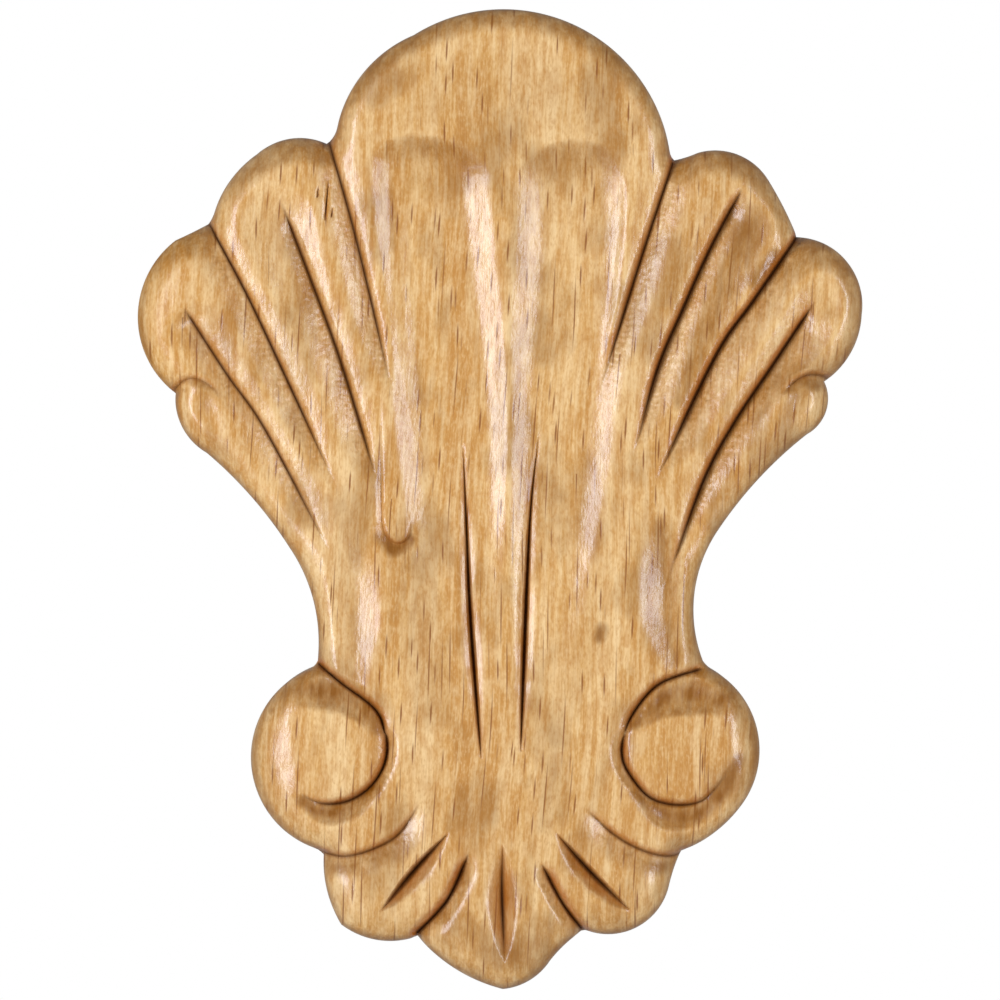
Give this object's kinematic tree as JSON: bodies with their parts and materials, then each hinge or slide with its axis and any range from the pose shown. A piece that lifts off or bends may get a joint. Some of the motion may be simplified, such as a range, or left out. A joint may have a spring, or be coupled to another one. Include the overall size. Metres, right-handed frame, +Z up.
{
  "type": "carved shell ornament",
  "caption": "Small carved hardwood shell appliqué with a round crest, fluted lobes, two scrolls and a pointed fan foot, flat at the back.",
  "frame": {"origin": "middle of the flat back face, at the middle of the ornament's height and width", "axes": "+Z up along the height, +X to the right as seen from the front, the carved face looks along -Y and the flat back along +Y"},
  "size_m": [0.094, 0.016, 0.1269],
  "materials": {
    "carved_hardwood": "light tan open-grained hardwood, grain upright, semi-gloss lacquer with a brown glaze left in the cuts"
  },
  "bodies": {
    "root": {"shell_ornament": "carved_hardwood"}
  },
  "joints": []
}
